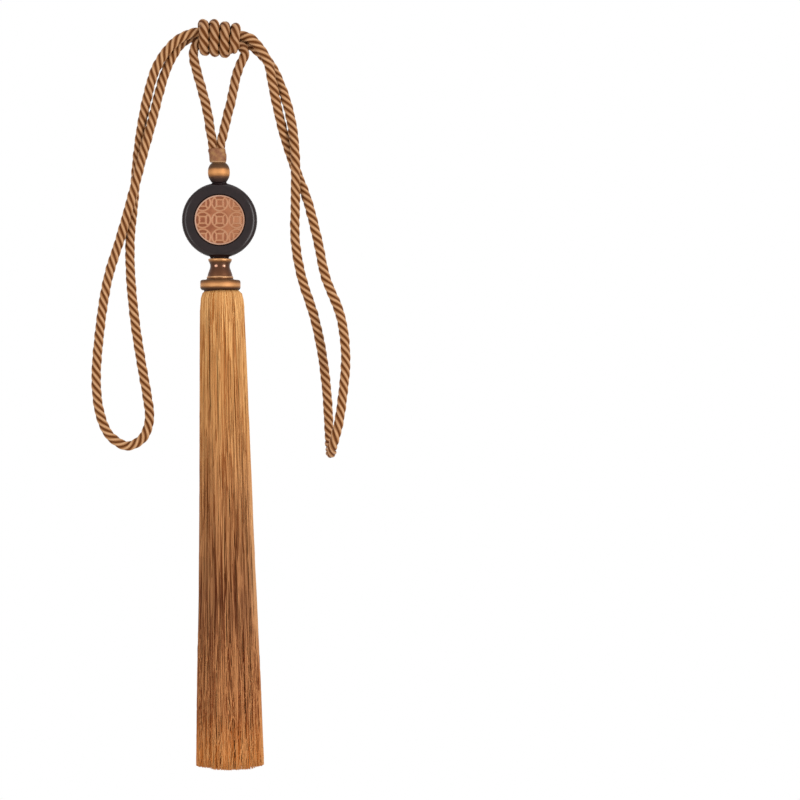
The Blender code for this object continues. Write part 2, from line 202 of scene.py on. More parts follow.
cordMake = {
    "radius": 4.15 * mm,      # over the crowns; the grooves bring the average down to 8 mm across
    "strands": 4,
    "lead": 28.5 * mm,        # length of one full turn of the strands
    "strandOut": 0.5,         # a strand's centre and half sizes, as shares of the cord's radius
    "strandDeep": 0.5,
    "strandWide": 0.54,
    "facesAcross": 8,         # faces over the outside of a strand
    "ringStep": 1.2 * mm,
    "uneven": 0.03,           # how much a strand swells and thins along its length
    "swellEvery": 31 * mm,
    "rippleEvery": 11.3 * mm,
    "rippleShare": 0.4,
    "swellShift": 2.1,        # each strand swells so much later than the one before, in radians
    "sharp": 42,              # degrees; flatter edges are shaded smooth
    "drawnIn": 0.06,          # how much thinner a cord is at a bound end, and for how far
    "drawnFor": 8 * mm,
}


def strandOutline(c):         # one strand's outside from groove to groove, and the way across it
    half = math.pi / c["strands"]
    deep = c["strandDeep"] * math.tan(half)
    out = c["strandOut"] * math.tan(half)
    groove = math.asin(out / math.hypot(c["strandWide"], deep)) + math.atan2(deep, c["strandWide"])
    turns = np.linspace(-groove, groove, c["facesAcross"] + 1)
    outward = c["radius"] * (c["strandOut"] + c["strandDeep"] * np.cos(turns))
    sideways = c["radius"] * c["strandWide"] * np.sin(turns)
    across = np.concatenate([[0], np.cumsum(np.hypot(np.diff(outward), np.diff(sideways)))])
    return outward, sideways, across - across[-1] / 2


def ropeMesh(line, closed, c, startTurn):     # startTurn turns all its strands, in radians
    points = np.array(line)
    count = len(points)
    ahead = np.roll(points, -1, axis=0) - np.roll(points, 1, axis=0)
    if not closed:
        ahead[0], ahead[-1] = points[1] - points[0], points[-1] - points[-2]
    ahead /= np.linalg.norm(ahead, axis=1)[:, None]
    side = np.cross(ahead[0], (0, 1, 0.01))       # any way across the cord
    side /= np.linalg.norm(side)
    sides = [side]
    for way in ahead[1:]:                 # carried along without any turning of its own
        side = side - way * side.dot(way)
        side /= np.linalg.norm(side)
        sides.append(side)
    sides = np.array(sides)
    others = np.cross(ahead, sides)
    gaps = np.linalg.norm(np.roll(points, -1, axis=0) - points, axis=1)
    gone = np.concatenate([[0], np.cumsum(gaps)])
    total = gone[-1] if closed else gone[-2]
    twist = -fullTurn / c["lead"]
    if closed:                            # the strands meet themselves where the cord closes
        back = sides[-1] - ahead[0] * sides[-1].dot(ahead[0])
        turned = math.atan2(back.dot(others[0]), back.dot(sides[0]))
        share = fullTurn / c["strands"]
        twist = (round((twist * total + turned) / share) * share - turned) / total
    outward, sideways, across = strandOutline(c)
    perStrand = c["facesAcross"]
    around = perStrand * c["strands"]
    along = fullTurn * gone[:count, None]
    swell = 1 + c["uneven"] * np.sin(along / c["swellEvery"]
                                     + np.arange(c["strands"]) * c["swellShift"])
    swell *= 1 - c["rippleShare"] * c["uneven"] * np.sin(along / c["rippleEvery"])
    if not closed:
        toEnd = np.minimum(gone[:count], total - gone[:count])
        near = np.clip(1 - toEnd / c["drawnFor"], 0, 1)
        swell *= 1 - c["drawnIn"] * (near * near * (3 - 2 * near))[:, None]
    rings = np.zeros((count, around, 3))
    for k in range(c["strands"]):
        turn = (startTurn + twist * gone[:count] + fullTurn * k / c["strands"])[:, None]
        out = sides * np.cos(turn) + others * np.sin(turn)
        over = others * np.cos(turn) - sides * np.sin(turn)
        full = swell[:, k, None]
        for i in range(perStrand):
            rings[:, k * perStrand + i] = (points + out * (outward[i] * full)
                                           + over * (sideways[i] * full))
    faces, corners = [], []
    for j in range(count if closed else count - 1):
        for m in range(around):
            n = (m + 1) % around
            after = (j + 1) % count
            faces.append((j * around + m, j * around + n, after * around + n, after * around + m))
            low, high = across[m % perStrand], across[m % perStrand + 1]
            corners += [(gone[j], low), (gone[j], high), (gone[j + 1], high), (gone[j + 1], low)]
    if not closed:
        start = tuple(range(around))
        faces += [start[::-1], tuple((count - 1) * around + m for m in start)]
        corners += [(0, 0)] * around * 2
    mesh = bpy.data.meshes.new("cord")
    mesh.from_pydata(rings.reshape(-1, 3).tolist(), [], faces)
    mesh.uv_layers.new(name="strandMap")  # metres along the strand, and metres across it
    mesh.uv_layers["strandMap"].data.foreach_set("uv", np.array(corners).ravel())
    bm = bmesh.new()
    bm.from_mesh(mesh)
    return shaded(mesh, bm, c["sharp"])


# Twisted rayon cord: the strands are bundles of satin yarn, with fine fibres that cross each
# strand at an angle; painted highlight on their crowns, and painted shade in the grooves.
def cordFinish(name, crowns, patchy):     # colours from a crown outwards, and how patchy they are
    finish, add, shader = newFinish(name, Roughness=0.5, IOR=1.5, Specular_IOR_Level=0.09)
    strand = add("UVMap", uv_map="strandMap")
    across = add("SeparateXYZ", {0: strand}).outputs["Y"]
    # 0 on a strand's crown, and 1 in the groove, where the painted shade is darkest
    toGrooveShade = add("Math", {0: across}, operation="ABSOLUTE")
    toGrooveShade = add("Math", {0: toGrooveShade, 1: 1 / (2.3 * mm)}, operation="MULTIPLY")
    # yarns of 0.8 mm that lie 20 degrees off the strand, drawn 7 mm long
    yarnWay = add("Mapping", {0: strand, "Rotation": (0, 0, math.radians(20)),
                              "Scale": every(7, 0.8, 1000)})
    yarns = add("TexNoise", {0: yarnWay, "Scale": 1.0, "Detail": 2.0, "Roughness": 0.6})
    depth = strayed(add, toGrooveShade, yarns, 0.8)
    # patches as wide as a strand, where its yarns lie a little fuller or flatter
    patchWay = add("Mapping", {0: strand, "Scale": every(6, 2.4, 1000)})
    patches = add("TexNoise", {0: patchWay, "Scale": 1.0, "Detail": 2.0})
    depth = strayed(add, depth, patches, patchy)
    # from a painted highlight on the crown to painted shade in the groove
    stops = zip((0.0, 0.24, 0.55, 0.8, 0.98), crowns + ("#785030", "#5a300e"))
    shade = add("ValToRGB", {0: depth}, stops=list(stops))
    bump = add("Bump", {"Height": yarns, "Strength": 0.5, "Distance": 0.15 * mm})
    connect(shader, {"Base Color": shade, "Normal": bump})
    return finish


cordYarn = cordFinish("twistedRayonCord", ("#b28b67", "#a27a57", "#906844"), 0.3)
# the knot's turns and the tassel's cord: a patchier copy of the same cord, with painted shade
shadedCordYarn = cordFinish("shadedRayonCord", ("#a8815e", "#9b7555", "#916b4b"), 0.9)

knot = {
    "middleZ": -15.6 * mm,
    "slope": -0.08,           # it hangs a little lower on its right
    "mouth": -17.9 * mm,      # its left end, where the loop comes out
    "frontCord": (-3.0 * mm, 3.9 * mm),       # depth and height of each cord inside
    "backCord": (5.1 * mm, 1.1 * mm),
    "hangerCord": (-1.2 * mm, -3.9 * mm),
    "turns": 4,
    "firstTurn": -13.9 * mm,  # place of the first turn's top along the knot
    "pitch": 9.1 * mm,
    "slant": 0.38,            # level in front, slanting behind, and more with each turn
    "slantGrows": 0.07,
    "startEarly": 1.35,       # how far before the first top it starts, in radians
    "endShort": 0.3,          # how far before the last foot it ends, tucked in
    "tuck": 5.5 * mm,         # how far its ends bend in, under the turns
    "tuckFor": 0.8,           # over so much of a turn, in radians
    "away": 8 * mm,           # from the middle of a cord inside to the middle of the wrap cord
    "radius": 4.3 * mm,       # pulled tight, the turns press each other full
    "lead": 27 * mm,
    "sag": 0.8 * mm,          # the turns hang this much below the cords' middle
    "sagGrows": 0.02,
    "settled": (0.5, -0.5, 0.3, 0.5),     # and the top of each turn lies so much lower, in mm
    "step": 1.0 * mm,
    "roundings": 12,          # how often the line is rounded where it passes from cord to cord
    "startTurn": 0.6,
}

# routes in millimetres, from the knot's front place round the left loop to its back place
leftLoop = [
    (-32.7, -3, -15.8), (-45.3, -2.5, -27.5), (-54.6, -2, -43.4), (-60.5, -0.5, -62.9),
    (-65.8, 2, -88.4), (-69.8, 4.1, -117.3), (-72.8, 4.3, -153), (-75.9, 2.6, -187),
    (-75.5, 0.8, -216.8), (-71.7, 0, -256.7), (-66.2, 0, -292.4), (-60.9, 0, -323),
    (-59.5, 0, -339.1), (-64.7, 0, -354.7), (-77.7, 0, -362), (-92.6, 0, -353.6),
    (-100.6, 0, -337), (-104.4, 0, -310.2), (-102.1, 0, -270.3), (-94.7, -0.8, -221),
    (-83.8, -2.4, -185.3), (-73.7, -4.3, -149.6), (-65.9, -4.1, -119), (-57.7, -2, -88.4),
    (-51.5, 0.5, -62.9), (-46.1, 2.4, -44.2), (-38.3, 3.8, -27.5), (-29.7, 4.8, -17.5),
]
# the right loop, from the knot's back place to its front place; it turns edge-on at its foot
rightLoop = [
    (25.5, 5.1, -20.2), (34.3, 5.3, -27.5), (43.6, 5.2, -37.4), (51, 3.8, -52.7), (57.8, 0, -73.1),
    (62, -2.2, -93.5), (63.9, -4.2, -113.9), (64.3, -4.2, -134.3), (64.2, -1.5, -156.4),
    (64.2, 0.5, -187), (69.6, 4, -217.6), (80.6, 9, -251.6), (87.4, 13.5, -282.2),
    (91.8, 17.5, -316.2), (93.5, 19, -343.4), (94.1, 15, -358.7), (94.5, 0, -368.6),
    (96, -14.5, -360.4), (99.9, -18.5, -345.1), (103.8, -17.5, -319.6), (106.5, -13.5, -285.6),
    (102.3, -8.5, -251.6), (89.8, -4, -218.4), (83.2, -1, -187), (75.1, 1.5, -154.7),
    (68.4, 4.2, -136), (60.3, 4.3, -114.3), (53.8, 2.4, -93.5), (48.8, 0.3, -73.1),
    (44.5, -3, -52.7), (41.2, -3.1, -37), (33.7, -3.1, -23.4), (25.5, -3, -15.5),
]
# the cord that carries the tassel: up the left leg, and down the right one
leftLeg = [
    (-5.8, 0, -110.9), (-5.8, 0, -108.3), (-6.0, 0, -103.5), (-7.5, 0, -96.9), (-9.5, 0, -83.3),
    (-12.8, -0.3, -68), (-17, -0.6, -52.7), (-19.8, -0.9, -42.5), (-21.8, -1.2, -34),
    (-22.2, -1.2, -27.2), (-19.4, -1.2, -21.2),
]
rightLeg = [
    (18.8, -0.8, -22.8), (21.3, -0.5, -27.8), (19.9, -0.5, -32.9), (17.2, -0.7, -38.3),
    (15.1, -0.8, -44), (12.9, -0.6, -52.7), (9.9, -0.3, -68), (6, 0, -83.3), (2.9, 0, -96.9),
    (1.1, 0, -103.5), (0.8, 0, -108.3), (0.7, 0, -110.9),
]


def inKnot(x, cord):
    depth, height = knot[cord]
    return Vector((x * mm, depth, knot["middleZ"] + knot["slope"] * x * mm + height))


def inMetres(route):
    return [Vector(point) * mm for point in route]


def layCord(name, node, route, closed, yarn, startTurn):
    line, measured = evenly(smoothLine(route, closed), closed, cordMake["ringStep"])
    mesh = ropeMesh(line, closed, cordMake, startTurn)
    piece = place(name, mesh, yarn, node, "cord_yarn")
    print(name, "laid, metres:", round(measured, 4))


def layCords():
    route = [inKnot(x, "frontCord") for x in (0, -8, -16.5)] + inMetres(leftLoop)
    route += [inKnot(x, "backCord") for x in (-16.5, -8, 0, 8, 16.5)] + inMetres(rightLoop)
    route += [inKnot(x, "frontCord") for x in (16.5, 8)]
    layCord("embraceCord", "embrace_cord", route, True, cordYarn, 0.0)
    route = inMetres(leftLeg) + [inKnot(x, "hangerCord") for x in (-13, -6.5, 0, 6.5, 13)]
    route += inMetres(rightLeg)
    layCord("hangerCord", "hanger_cord", route, False, shadedCordYarn, 1.2)


def knotPoint(turned, k, inwards):        # the wrap cord's centre; 0 is the first turn's top
    turn = turned / fullTurn
    across, height = -math.sin(turned), math.cos(turned)
    # a turn's slant lasts until a quarter turn before the next top
    slant = k["slant"] + k["slantGrows"] * math.floor(turn + 0.25)
    x = k["firstTurn"] + k["pitch"] * (turn - slant * (1 - math.cos(turned)) / 2)
    cords = (k["frontCord"], k["backCord"], k["hangerCord"])
    depth, rise = max(cords, key=lambda c: c[0] * across + c[1] * height)
    away = k["away"] - inwards
    sag = k["sag"] + k["sagGrows"] * x
    sag += np.interp(turn, range(k["turns"]), k["settled"]) * mm * max(0.0, height)
    return Vector((x, depth + away * across,
                   k["middleZ"] + k["slope"] * x - sag + rise + away * height))


def wrapCord():
    last = (2 * knot["turns"] - 1) * math.pi - knot["endShort"]
    turns = np.arange(-knot["startEarly"], last, math.radians(5))
    rough = []
    for turned in turns:
        early = max(0.0, 1 - (turned + knot["startEarly"]) / knot["tuckFor"])
        late = max(0.0, 1 - (last - turned) / knot["tuckFor"])
        point = knotPoint(turned, knot, knot["tuck"] * max(early, late) ** 1.5)
        point.x += knot["tuck"] * (early ** 2 - late ** 2)
        rough.append(point)
    line, length = evenly(rough, False, knot["step"])
    for i in range(knot["roundings"]):
        middle = [(a + 2 * b + c) / 4 for a, b, c in zip(line, line[1:], line[2:])]
        line = line[:1] + middle + line[-1:]
    tight = {**cordMake, "radius": knot["radius"], "lead": knot["lead"]}
    mesh = ropeMesh(line, False, tight, knot["startTurn"])
    place("wrapCord", mesh, shadedCordYarn, "knot_wraps", "cord_yarn")
    print("wrap cord, metres:", round(length, 4))


layCords()
wrapCord()


# turned pieces share one way of being spun about the line they hang on

def spun(profile, steps, x=0.0):
    bm = bmesh.new()
    corners = [bm.verts.new((radius, 0, height)) for radius, height in profile]
    edges = [bm.edges.new(pair) for pair in zip(corners, corners[1:])]
    bmesh.ops.spin(bm, geom=corners + edges, cent=(0, 0, 0), axis=(0, 0, 1),
                   angle=fullTurn, steps=steps, use_merge=True)
    bmesh.ops.translate(bm, verts=bm.verts, vec=(x, 0, 0))
    return bm


def shapeAt(level, rows):                 # sideways shift and half sizes there, in millimetres
    levels, *columns = zip(*rows)
    return [np.interp(level, levels, column) for column in columns]


facing = Matrix.Rotation(math.radians(90), 4, "X")    # turns a spun piece to face the front


def faired(shape, start, length, cuts):   # finer points of a smooth outline
    route = [Vector((radius * mm, 0, start + share * length)) for radius, share in shape]
    return [(p.x, p.z) for p in smoothLine(route, False, cuts)]


def arc(centre, radius, start, end, steps):
    angles = [math.radians(start + (end - start) * i / steps) for i in range(steps + 1)]
    return [(centre[0] + radius * math.cos(a), centre[1] + radius * math.sin(a)) for a in angles]


# binding

binding = {
    "top": -109.35 * mm,
    "length": 11.85 * mm,
    "x": -1.1 * mm,
    # share of length down, then sideways shift, half width and half depth in millimetres
    "rows": [(0, -1.25, 6.9, 5.0), (0.04, -1.3, 7.3, 5.6), (0.12, -1.38, 7.42, 5.8),
             (0.2, -1.35, 7.42, 5.8), (0.3, -1.0, 7.32, 5.7), (0.4, -0.62, 7.4, 5.7),
             (0.55, -0.42, 7.38, 5.6), (0.8, -0.4, 7.25, 5.5), (0.9, -0.4, 7.0, 5.4),
             (0.95, -0.3, 6.9, 5.5), (1.0, -0.2, 6.5, 5.3)],
    "thread": 0.4 * mm,       # spacing of the wound thread
    "ridge": 0.03 / 7,        # how proud it stands, as a share of the half width
}


# Wound embroidery thread: lustrous, with a fine line between every two turns.
def threadFinish(b):
    finish, add, shader = newFinish("woundSilkThread", Roughness=0.55, IOR=1.5,
                                    Specular_IOR_Level=0.2, Sheen_Weight=0.1,
                                    Sheen_Roughness=0.4, Sheen_Tint=linear("#d8a070"))
    where, axes = objectAxes(add)
    # patches of 5 mm, wound a little tighter or looser
    wide = add("Mapping", {0: where, "Scale": every(5, 5, 4)})
    patches = add("TexNoise", {0: wide, "Scale": 1.0, "Detail": 3.0})
    shade = add("ValToRGB", {0: patches},
                stops=[(0.3, "#6a4029"), (0.5, "#7c5336"), (0.7, "#906a40")])
    foot = b["top"] - b["length"]
    # a painted highlight lightens its last turns
    last = add("MapRange",
               {0: axes["Z"], "From Min": foot + 1.2 * mm, "From Max": foot + 0.5 * mm})
    mixed = add("Mix", {0: last, 6: shade, 7: linear("#9c7856")}, data_type="RGBA")
    connect(shader, {"Base Color": mixed.outputs[2]})
    return finish


def makeBinding(b):
    ridges = round(b["length"] / b["thread"])
    profile = [(0, b["top"])]
    for i in range(ridges * 4 + 1):
        down = i / (ridges * 4)
        proud = b["ridge"] * abs(math.sin(math.pi * down * ridges))
        profile.append((1 + proud, b["top"] - down * b["length"]))
    profile.append((0, b["top"] - b["length"]))
    bm = spun(profile, 64)
    for vert in bm.verts:                 # from round to the flat oval of two legs
        shift, width, depth = shapeAt((b["top"] - vert.co.z) / b["length"], b["rows"])
        vert.co.x = b["x"] + shift * mm + vert.co.x * (width * mm)
        vert.co.y *= depth * mm
    place("woundBinding", meshFrom(bm, 60), threadFinish(b), "binding", "binding_thread")


makeBinding(binding)
print("cords, knot and binding made")


# bead and ring: gilt wood

# Antique gold on turned wood: a warm satin metal paint, with a painted reflection in bands up its
# height, dark towards its ends and bright round its middle, and painted shade in its hollows.
def giltFinish(name, low, high, bands):
    finish, add, shader = newFinish(name, Roughness=0.58, Metallic=0.6, Specular_IOR_Level=0.3)
    where, axes = objectAxes(add)
    # painted reflection and shade: 0 at the foot and 1 at the top, turned into bands of colour
    reflectionHeight = add("MapRange", {0: axes["Z"], "From Min": low, "From Max": high})
    # rubbed as it was turned: marks of 1 mm, drawn 6 mm round
    grain = add("Mapping", {0: where, "Scale": every(6, 6, 1)})
    rubbed = add("TexNoise", {0: grain, "Scale": 1.0, "Detail": 4.0})
    shade = add("ValToRGB", {0: strayed(add, reflectionHeight, rubbed, 0.1)}, stops=bands)
    worn = add("Bump", {"Height": rubbed, "Strength": 0.25, "Distance": 0.08 * mm})
    connect(shader, {"Base Color": shade, "Normal": worn})
    return finish


bead = {
    "foot": -138.1 * mm,
    "length": 16.6 * mm,
    "x": -0.7 * mm,
    # radius in millimetres, share of length up
    "shape": [(5.7, 1.0), (6.6, 0.965), (7.85, 0.88), (8.9, 0.74), (9.3, 0.56), (9.25, 0.42),
              (8.75, 0.27), (7.65, 0.13), (6.65, 0.04), (6.1, 0)],
    # painted reflection, from the foot up: dark at both ends, and bright gold round the middle
    "bands": [(0, "#2a1c1a"), (0.16, "#38261e"), (0.26, "#583a26"), (0.35, "#926238"),
              (0.47, "#bc8450"), (0.6, "#b47c4a"), (0.69, "#7a5230"), (0.76, "#563a24"),
              (0.93, "#4c341e"), (0.99, "#7c5838")],
}


def makeBead(b):
    top, foot = b["foot"] + b["length"], b["foot"]
    outline = faired(b["shape"], foot, b["length"], 5)
    bm = spun([(0, top)] + outline + [(0, foot)], 96, b["x"])
    gilt = giltFinish("giltWoodBead", foot, top, b["bands"])
    place("barrelBead", meshFrom(bm), gilt, "bead", "gilt_wood")


makeBead(bead)

ring = {
    "top": -221.0 * mm,
    "x": 0.6 * mm,
    "radius": 17.1 * mm,
    "height": 8.8 * mm,
    "topRounding": 1.6 * mm,
    "footRounding": 2.7 * mm,
    "neckRadius": 13.9 * mm,
    "neck": 1.4 * mm,
    # from the neck's foot up: painted shade under the ring, then a painted reflection, bright gold
    # round its side and dark on its top edge
    "bands": [(0, "#3a231a"), (0.27, "#422a1a"), (0.34, "#644026"), (0.42, "#94643a"),
              (0.5, "#bc8a5a"), (0.66, "#ae784a"), (0.76, "#845834"), (0.88, "#603e22"),
              (1, "#58381c")],
}


def makeRing(r):
    foot = r["top"] - r["height"]
    over, under = r["topRounding"], r["footRounding"]
    profile = [(0, r["top"])]
    profile += arc((r["radius"] - over, r["top"] - over), over, 90, 0, 9)
    profile += arc((r["radius"] - under, foot + under), under, 0, -85, 9)
    profile += [(r["neckRadius"], foot), (r["neckRadius"], foot - r["neck"]),
                (0, foot - r["neck"])]
    gilt = giltFinish("giltWoodRing", foot - r["neck"], r["top"], r["bands"])
    bm = spun(profile, 112, r["x"])
    place("baseRing", meshFrom(bm), gilt, "base_ring", "gilt_wood")


makeRing(ring)


# disc

disc = {
    "centre": Vector((-0.1 * mm, 0, -170.35 * mm)),
    "radius": 32.0 * mm,
    "thickness": 13 * mm,
    "rounding": 4.8 * mm,
    "pocketRadius": 21.7 * mm,
    "pocketDepth": 3 * mm,
    "pocketBevel": 0.5 * mm,
    "topSeat": (6.3 * mm, -138.2 * mm),       # radius, height
    "footSeat": (7.8 * mm, -202.6 * mm),
    "seatHeight": 6 * mm,
    "seatSpread": 1.4,        # it spreads so much where it meets the disc
    "seatDepth": 6.2 * mm,    # half depth of the foot's seat, which stays inside the disc's faces
}


# Black lacquer on turned wood: near black with a breath of brown, and a satin gloss that varies
# a little every 4 mm.
def lacquerFinish():
    finish, add, shader = newFinish("satinBlackLacquer", IOR=1.5, Specular_IOR_Level=0.33)
    where = add("TexCoord").outputs["Object"]
    fine = add("TexNoise", {0: where, "Scale": 260.0, "Detail": 3.0})
    shade = add("ValToRGB", {0: fine}, stops=[(0.35, "#120708"), (0.7, "#1a0c0d")])
    gloss = add("MapRange", {0: fine, "To Min": 0.2, "To Max": 0.3})
    connect(shader, {"Base Color": shade, "Roughness": gloss})
    return finish


def makeDisc(d):
    half, over, pocket = d["thickness"] / 2, d["rounding"], d["pocketRadius"]
    edge, floor = d["radius"] - over, half - d["pocketDepth"]
    profile = [(0, -half)]
    profile += arc((edge, over - half), over, -90, 0, 10)
    profile += arc((edge, half - over), over, 0, 90, 10)
    profile += [(pocket + d["pocketBevel"], half), (pocket, half - d["pocketBevel"]),
                (pocket, floor), (0, floor)]
    bm = spun(profile, 160)
    bmesh.ops.transform(bm, matrix=Matrix.Translation(d["centre"]) @ facing, verts=bm.verts)
    for radius, height in (d["topSeat"], d["footSeat"]):
        way = 1 if height > d["centre"].z else -1
        ends = (radius * d["seatSpread"], radius)[::way]
        made = bmesh.ops.create_cone(bm, cap_ends=True, segments=48, radius1=ends[0],
                                     radius2=ends[1], depth=d["seatHeight"])["verts"]
        flat = min(1.0, d["seatDepth"] / max(ends))
        bmesh.ops.scale(bm, vec=(1, flat, 1), verts=made)
        seat = (d["centre"].x, 0, height - way * d["seatHeight"] / 2)
        bmesh.ops.translate(bm, vec=seat, verts=made)
    place("roundPlaque", meshFrom(bm), lacquerFinish(), "disc", "black_lacquer")


makeDisc(disc)


# coin insert

insert = {
    "radius": 21.1 * mm,
    "face": -6.9 * mm,        # how far forward the rim stands
    "back": -3.8 * mm,
    "rim": 1.2 * mm,
    "rimLap": 0.25 * mm,      # how far the rim reaches under the carving
    "rimOver": 0.35 * mm,     # roundings of the rim's outer and inner edge
    "rimInside": 0.3 * mm,
    "pitch": 14.4 * mm,       # from coin to coin
    "ringMiddle": 6.5 * mm,   # each coin: a ring, and a square frame inside it
    "squareHalf": 2.85 * mm,
    "line": 1.5 * mm,         # width of a carved line, and how softly its sides slope
    "slope": 0.95 * mm,
    "lineTop": 0.3 * mm,      # below the rim: the lines, the flats, and the deep parts
    "flat": 0.85 * mm,
    "deep": 1.0 * mm,
    "cell": 0.225 * mm,       # the faces that the carving is cut into
}


def coinDepth(x, z, i):                   # how far below the rim the carving lies at a place
    half = i["pitch"] / 2
    px = (x + half) % i["pitch"] - half
    pz = (z + half) % i["pitch"] - half
    out = math.hypot(px, pz)
    square = max(abs(px), abs(pz))
    inCrescent = out < i["ringMiddle"] and square > i["squareHalf"]
    toLine = min(abs(out - i["ringMiddle"]), abs(square - i["squareHalf"]))
    if inCrescent:                        # ribs join the square's corners to the ring
        toLine = min(toLine, abs(abs(px) - abs(pz)) / math.sqrt(2))
    onLine = min(1.0, max(0.0, 0.5 - (toLine - i["line"] / 2) / i["slope"]))
    ground = i["deep"] if inCrescent else i["flat"]
    return ground + (i["lineTop"] - ground) * onLine * onLine * (3 - 2 * onLine)


# Carved and copper painted: soft metal paint, light on the raised lines, and darkened with
# painted shade where the carving lies deep.
def copperFinish(i):
    finish, add, shader = newFinish("copperPaintedCarving", Roughness=0.5, Metallic=0.25)
    where, axes = objectAxes(add)
    # painted shade: 0 on the rim's face, and 1 where the carving lies deepest
    level = add("MapRange", {0: axes["Y"], "From Min": i["face"],
                             "From Max": i["face"] + i["deep"]})
    # specks of 2 mm, and worn places of 10 mm
    dirt = add("TexNoise", {0: where, "Scale": 420.0, "Detail": 4.0})
    worn = add("TexNoise", {0: where, "Scale": 95.0, "Detail": 1.0})
    # painted shade: the hollows are darker to the left, and the worn places vary it
    side = add("Math", {0: axes["X"], 1: -6.0, 2: 0.4}, operation="MULTIPLY_ADD")
    wearAndShade = add("Math", {0: worn, 1: side})
    level = add("Math", {0: level, 1: wearAndShade}, operation="MULTIPLY")
    shade = add("ValToRGB", {0: strayed(add, level, dirt, 0.3)},
                stops=[(0.0, "#a27e6a"), (0.27, "#9e7050"), (0.66, "#945a38"), (1.0, "#743a18")])
    # to the right the lines are less bright, and differ less from the hollows
    flatter = add("MapRange", {0: axes["X"], "From Min": -4 * mm,
                               "From Max": 12 * mm, "To Max": 0.5})
    mixed = add("Mix", {0: flatter, 6: shade, 7: linear("#905b38")}, data_type="RGBA")
    rough = add("Bump", {"Height": dirt, "Strength": 0.3, "Distance": 0.1 * mm})
    connect(shader, {"Base Color": mixed.outputs[2], "Normal": rough})
    return finish


def makeInsert(i, d):
    inner = i["radius"] - i["rim"] / 2
    cells = math.ceil(2 * inner / i["cell"])
    bm = bmesh.new()
    bmesh.ops.create_grid(bm, x_segments=cells, y_segments=cells, size=cells * i["cell"] / 2)
    outside = [v for v in bm.verts if v.co.length > inner]
    bmesh.ops.delete(bm, geom=outside, context="VERTS")
    loose = [v for v in bm.verts if not v.link_faces]
    bmesh.ops.delete(bm, geom=loose, context="VERTS")
    top = list(bm.verts)
    pushed = bmesh.ops.extrude_face_region(bm, geom=list(bm.faces), use_keep_orig=True)["geom"]
    under = [v for v in pushed if isinstance(v, bmesh.types.BMVert)]
    for vert in under:
        vert.co = Vector((vert.co.x, i["back"], vert.co.y))
    for vert in top:
        x, z = vert.co.x, vert.co.y
        vert.co = Vector((x, i["face"] + coinDepth(x, z, i), z))
    radius, back, face = i["radius"], -i["back"], -i["face"]
    over, inside = i["rimOver"], i["rimInside"]
    foot = radius - i["rim"] - i["rimLap"]
    profile = [(foot, back), (radius, back), (radius, face - over)]
    profile += arc((radius - over, face - over), over, 0, 90, 4)[1:]
    profile += arc((radius - i["rim"] + inside, face - inside), inside, 90, 170, 4)
    profile += [(foot, face - i["deep"]), (foot, back)]
    rim = spun(profile, 160)
    bmesh.ops.transform(rim, matrix=facing, verts=rim.verts)
    rimMesh = bpy.data.meshes.new("rim")
    rim.to_mesh(rimMesh)
    rim.free()
    bm.from_mesh(rimMesh)
    bpy.data.meshes.remove(rimMesh)
    bmesh.ops.translate(bm, verts=bm.verts, vec=d["centre"])
    place("coinInsert", meshFrom(bm, 50), copperFinish(i), "coin_insert", "copper_finish")


makeInsert(insert, disc)


# collar

collar = {
    "top": -202.9 * mm,
    "length": 17.8 * mm,
    "x": 0.3 * mm,
    # parts of the outline: radius and share of length down; each part is smooth in itself
    "flange": [(9.3, 0), (9.9, 0.02), (10.0, 0.06), (9.8, 0.12), (9.3, 0.16)],
    "neck": [(9.3, 0.16), (8.7, 0.235), (8.3, 0.33), (8.4, 0.43), (9.2, 0.56), (10.1, 0.70),
             (10.75, 0.84)],
    "lip": [(10.75, 0.84), (11.1, 0.86), (11.3, 0.88), (11.3, 0.925), (11.05, 0.95)],
    "foot": [(11.05, 0.95), (11.35, 0.96), (11.6, 0.97), (11.75, 0.985), (11.8, 1.0)],
    # from the top down: edges rubbed bright, and a dark neck
    "bands": [(0.0, "#94663e"), (0.05, "#b88658"), (0.12, "#80542e"), (0.2, "#4c2f1c"),
              (0.5, "#50301e"), (0.83, "#603a22"), (0.89, "#c4966c"), (0.94, "#80522e"),
              (0.99, "#5e3a1e")],
    "studs": (-24, 24, 156, 204),     # round studs in front and behind, in degrees from the front
    "studShare": 0.36,
    "studRadius": 1.45 * mm,
    "studProud": 0.5 * mm,
}


# Antique copper: a dark brown patina on a copper coloured body, worn light along the edges.
def antiqueFinish(c):
    finish, add, shader = newFinish("antiqueCopper", Roughness=0.45, Metallic=0.75)
    where, axes = objectAxes(add)
    down = add("MapRange", {0: axes["Z"], "From Min": c["top"],
                            "From Max": c["top"] - c["length"]})
    # spots of 3 mm
    worn = add("TexNoise", {0: where, "Scale": 320.0, "Detail": 4.0})
    shade = add("ValToRGB", {0: strayed(add, down, worn, 0.06)}, stops=c["bands"])
    connect(shader, {"Base Color": shade})
    return finish


# Burnished studs: the same copper rubbed bright.
def studFinish():
    finish, add, shader = newFinish("burnishedCopper", Metallic=0.8)
    where = add("TexCoord").outputs["Object"]
    rubbed = add("TexNoise", {0: where, "Scale": 600.0, "Detail": 3.0})
    shade = add("ValToRGB", {0: rubbed}, stops=[(0.3, "#c08e74"), (0.7, "#d8a88e")])
    gloss = add("MapRange", {0: rubbed, "To Min": 0.25, "To Max": 0.4})
    connect(shader, {"Base Color": shade, "Roughness": gloss})
    return finish


